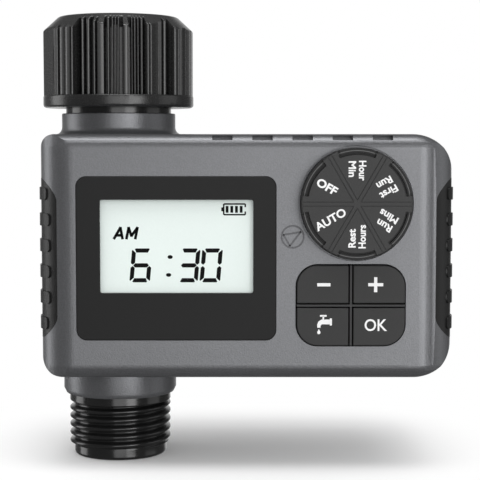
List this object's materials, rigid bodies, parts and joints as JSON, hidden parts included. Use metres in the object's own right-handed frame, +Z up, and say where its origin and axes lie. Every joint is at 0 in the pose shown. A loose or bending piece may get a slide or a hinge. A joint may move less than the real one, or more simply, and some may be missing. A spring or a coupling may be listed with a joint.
{
  "type": "drip irrigation timer",
  "caption": "Hose-tap irrigation timer: swivel nut on top, straight-through valve and threaded outlet, grey housing with display, round selector dial, keys and rubber side grips.",
  "frame": {"origin": "centre of the swivel nut's mouth, where the tap's thread enters", "axes": "+Z up along the water axis, out of the nut towards the tap; +X to the viewer's right across the front face; +Y to the back, away from the display"},
  "size_m": [0.1062, 0.0626, 0.1159],
  "materials": {
    "housing": "fine pearl grey moulded texture",
    "cover": "fine grey moulded texture",
    "nut": "satin black moulding",
    "valve": "satin black moulding",
    "poppet": "satin",
    "rubber_grip": "matt moulded rubber",
    "rubber_seal": "matt",
    "seal_orange": "matt silicone",
    "ring": "natural acetal",
    "filter": "satin",
    "mesh": "woven steel",
    "panel": "smooth black",
    "lcd": "pale grey-green display glass",
    "lcd_frame": "white",
    "keys": "satin dark grey",
    "dial": "satin dark grey",
    "board": "solder mask",
    "switches": "satin",
    "selector": "satin blue",
    "steel": "zinc plated",
    "bobbin": "natural",
    "copper": "enamelled copper wire",
    "tray": "satin",
    "cells": "plain green sleeve"
  },
  "bodies": {
    "timer": {"front_shell": "housing", "rear_shell": "housing", "shell_gasket": "rubber_seal", "shell_screws": "steel", "left_grip": "rubber_grip", "right_grip": "rubber_grip", "nut_retaining_ring": "ring", "tap_washer": "rubber_seal", "filter_frame": "filter", "filter_mesh": "mesh", "valve_body": "valve", "diaphragm": "rubber_seal", "valve_spring": "steel", "valve_bonnet": "valve", "bonnet_screws": "steel", "solenoid_bobbin": "bobbin", "solenoid_winding": "copper", "solenoid_frame": "steel", "solenoid_core": "steel", "plunger_spring": "steel", "display_panel": "panel", "lcd_glass": "lcd", "lcd_holder": "lcd_frame", "main_board": "board", "board_screws": "steel", "tact_switches": "switches", "selector_switch": "selector", "dial_seal": "rubber_seal", "keypad_membrane": "rubber_seal", "battery_tray": "tray", "battery_cell_upper": "cells", "battery_cell_lower": "cells", "battery_contacts": "steel"},
    "nut": {"swivel_nut": "nut"},
    "dial": {"selector_dial": "dial"},
    "minus_key": {"key_minus": "keys"},
    "plus_key": {"key_plus": "keys"},
    "manual_key": {"key_manual": "keys"},
    "ok_key": {"key_ok": "keys"},
    "battery_lid": {"battery_cover": "cover", "cover_seal": "seal_orange"},
    "poppet": {"valve_poppet": "poppet"},
    "plunger": {"solenoid_plunger": "steel"}
  },
  "joints": [
    {"name": "nut_spin", "type": "hinge", "parent": "timer", "child": "nut", "pos_m": [0, 0, -0.012], "axis": [0, 0, 1], "continuous": true},
    {"name": "dial_turn", "type": "hinge", "parent": "timer", "child": "dial", "pos_m": [0.061, -0.026, -0.0479], "axis": [0, -1, 0], "continuous": true},
    {"name": "minus_key_press", "type": "slide", "parent": "timer", "child": "minus_key", "axis": [0, 1, 0], "range_m": [0, 0.0008], "stiffness_N_per_m": 300},
    {"name": "plus_key_press", "type": "slide", "parent": "timer", "child": "plus_key", "axis": [0, 1, 0], "range_m": [0, 0.0008], "stiffness_N_per_m": 300},
    {"name": "manual_key_press", "type": "slide", "parent": "timer", "child": "manual_key", "axis": [0, 1, 0], "range_m": [0, 0.0008], "stiffness_N_per_m": 300},
    {"name": "ok_key_press", "type": "slide", "parent": "timer", "child": "ok_key", "axis": [0, 1, 0], "range_m": [0, 0.0008], "stiffness_N_per_m": 300},
    {"name": "battery_lid_pull", "type": "slide", "parent": "timer", "child": "battery_lid", "axis": [0, 1, 0], "range_m": [0, 0.03]},
    {"name": "poppet_lift", "type": "slide", "parent": "timer", "child": "poppet", "axis": [1, 0, 0], "range_m": [0, 0.0024], "stiffness_N_per_m": 400},
    {"name": "plunger_stroke", "type": "slide", "parent": "timer", "child": "plunger", "axis": [1, 0, 0], "range_m": [0, 0.0015], "stiffness_N_per_m": 300}
  ]
}
